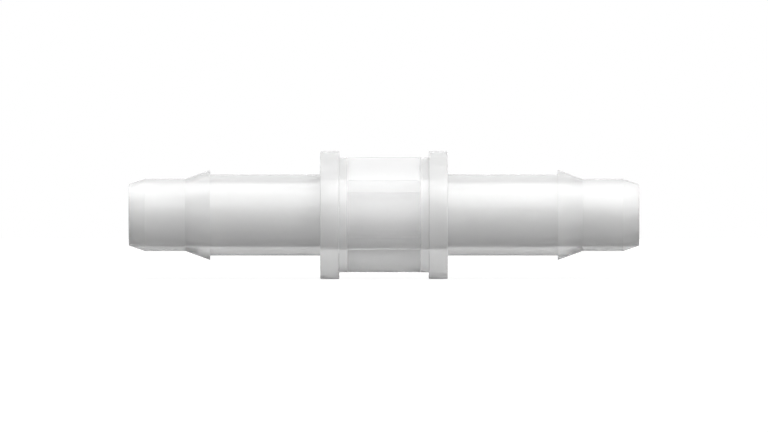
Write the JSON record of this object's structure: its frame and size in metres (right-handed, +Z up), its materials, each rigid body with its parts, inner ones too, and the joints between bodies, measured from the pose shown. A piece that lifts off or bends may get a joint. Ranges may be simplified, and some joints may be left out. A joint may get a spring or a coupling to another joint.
{
  "type": "hose coupling",
  "caption": "Straight barbed hose coupling in translucent white plastic, with a hexagon grip between round hose-stop flanges.",
  "frame": {"origin": "middle of the bore, half way between the open ends", "axes": "+X along the bore, +Y away from the front flat of the grip, +Z up through a rounded corner of the grip"},
  "size_m": [0.051, 0.0128, 0.0128],
  "materials": {
    "natural_plastic": "translucent white, smooth with a faint moulding grain"
  },
  "bodies": {
    "root": {"coupling_body": "natural_plastic"}
  },
  "joints": []
}
